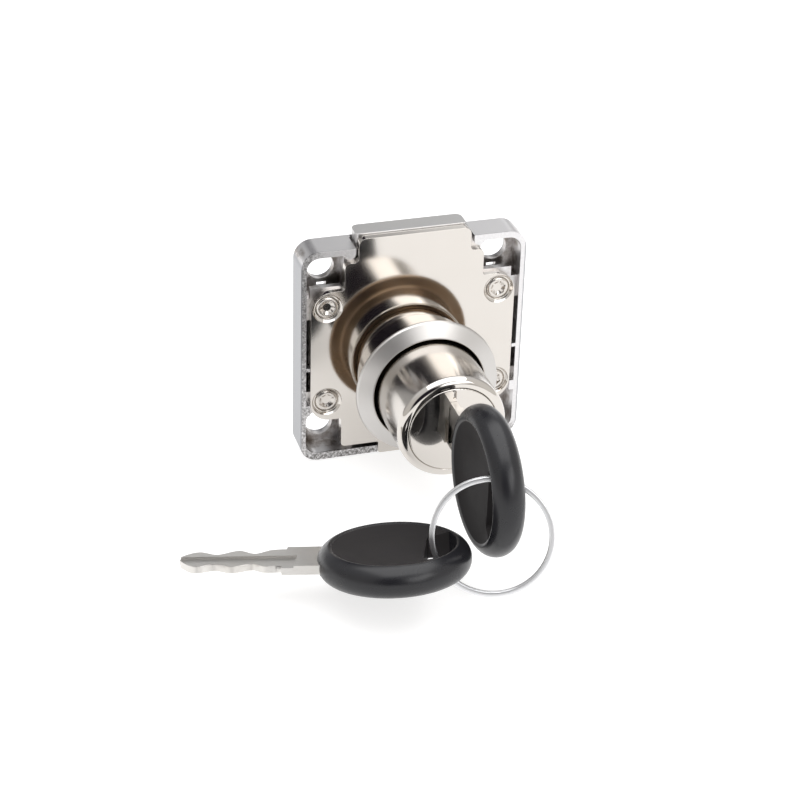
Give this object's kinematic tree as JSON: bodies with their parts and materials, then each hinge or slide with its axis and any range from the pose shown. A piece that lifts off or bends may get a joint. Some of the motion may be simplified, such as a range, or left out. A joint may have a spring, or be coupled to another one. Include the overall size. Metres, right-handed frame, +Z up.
{
  "type": "drawer lock",
  "caption": "Square surface-fixed drawer lock with a keyed barrel, trim ring, sliding bolt and two round-headed keys on a split ring.",
  "frame": {"origin": "on the barrel's axis, in the plane of the case's rim and the plate's face, which meets the inside of the drawer front", "axes": "+X right and +Z up as seen from the front of the drawer, +Y into the drawer; the barrel and its key point along -Y"},
  "size_m": [0.0683, 0.062, 0.0429],
  "materials": {
    "case_metal": "bright nickel plating over rough die-cast zinc",
    "plate_chrome": "mirror polished nickel plating",
    "rivet_chrome": "plated rivets with star-staked heads",
    "ring_chrome": "polished plating",
    "plug_metal": "turned and plated face",
    "brass": "stamped brass wafers",
    "spring_steel": "fine spring wire",
    "crank_metal": "plain die-cast zinc",
    "bolt_metal": "tumbled plated zinc",
    "key_steel": "nickel plated steel, milled one side",
    "key_plastic": "black moulded plastic, glossy rim and satin face",
    "wire_steel": "plated spring wire"
  },
  "bodies": {
    "housing": {"case": "case_metal", "barrel_plate": "plate_chrome", "rivets": "rivet_chrome"},
    "trim_ring": {"trim_ring": "ring_chrome"},
    "plug": {"plug": "plug_metal", "crank": "crank_metal", "retaining_wafer": "brass", "retaining_spring": "spring_steel", "wafer_spring_1": "spring_steel", "wafer_spring_2": "spring_steel", "wafer_spring_3": "spring_steel", "wafer_spring_4": "spring_steel", "wafer_spring_5": "spring_steel"},
    "bolt": {"bolt": "bolt_metal"},
    "key_1": {"key_1_blade": "key_steel", "key_1_head": "key_plastic"},
    "key_ring": {"key_ring": "wire_steel"},
    "key_2": {"key_2_blade": "key_steel", "key_2_head": "key_plastic"},
    "wafer_1": {"wafer_1": "brass"},
    "wafer_2": {"wafer_2": "brass"},
    "wafer_3": {"wafer_3": "brass"},
    "wafer_4": {"wafer_4": "brass"},
    "wafer_5": {"wafer_5": "brass"}
  },
  "joints": [
    {"name": "plug_turn", "type": "hinge", "parent": "housing", "child": "plug", "pos_m": [0, 0, 0], "axis": [0, 1, 0], "range_deg": [0, 180]},
    {"name": "bolt_slide", "type": "slide", "parent": "housing", "child": "bolt", "axis": [0, 0, 1], "range_m": [0, 0.008]},
    {"name": "trim_ring_slide", "type": "slide", "parent": "housing", "child": "trim_ring", "axis": [0, -1, 0], "range_m": [-0.0018, 0.0115]},
    {"name": "key_1_withdraw", "type": "slide", "parent": "plug", "child": "key_1", "axis": [0, -1, 0], "range_m": [0, 0.0185]},
    {"name": "key_ring_swing", "type": "hinge", "parent": "key_1", "child": "key_ring", "pos_m": [0, -0.04796, 0.00513], "axis": [1, 0, 0], "range_deg": [0, 20]},
    {"name": "key_2_swing", "type": "hinge", "parent": "key_ring", "child": "key_2", "pos_m": [-0.01015, -0.04851, -0.00847], "axis": [0.0076, 0.2596, 0.9657], "range_deg": [-7, 20]},
    {"name": "wafer_1_drop", "type": "slide", "parent": "plug", "child": "wafer_1", "axis": [0, 0, -1], "range_m": [0, 0.00085], "deforming": ["wafer_spring_1"]},
    {"name": "wafer_2_drop", "type": "slide", "parent": "plug", "child": "wafer_2", "axis": [0, 0, -1], "range_m": [0, 0.00085], "deforming": ["wafer_spring_2"]},
    {"name": "wafer_3_drop", "type": "slide", "parent": "plug", "child": "wafer_3", "axis": [0, 0, -1], "range_m": [0, 0.00085], "deforming": ["wafer_spring_3"]},
    {"name": "wafer_4_drop", "type": "slide", "parent": "plug", "child": "wafer_4", "axis": [0, 0, -1], "range_m": [0, 0.00085], "deforming": ["wafer_spring_4"]},
    {"name": "wafer_5_drop", "type": "slide", "parent": "plug", "child": "wafer_5", "axis": [0, 0, -1], "range_m": [0, 0.00085], "deforming": ["wafer_spring_5"]}
  ],
  "couplings": [
    {"joint": "plug_turn", "follows": "bolt_slide", "rad_per_m": 392.7},
    {"joint": "wafer_1_drop", "follows": "key_1_withdraw", "ratio": 0.045946},
    {"joint": "wafer_2_drop", "follows": "key_1_withdraw", "ratio": 0.045946},
    {"joint": "wafer_3_drop", "follows": "key_1_withdraw", "ratio": 0.045946},
    {"joint": "wafer_4_drop", "follows": "key_1_withdraw", "ratio": 0.045946},
    {"joint": "wafer_5_drop", "follows": "key_1_withdraw", "ratio": 0.045946}
  ]
}
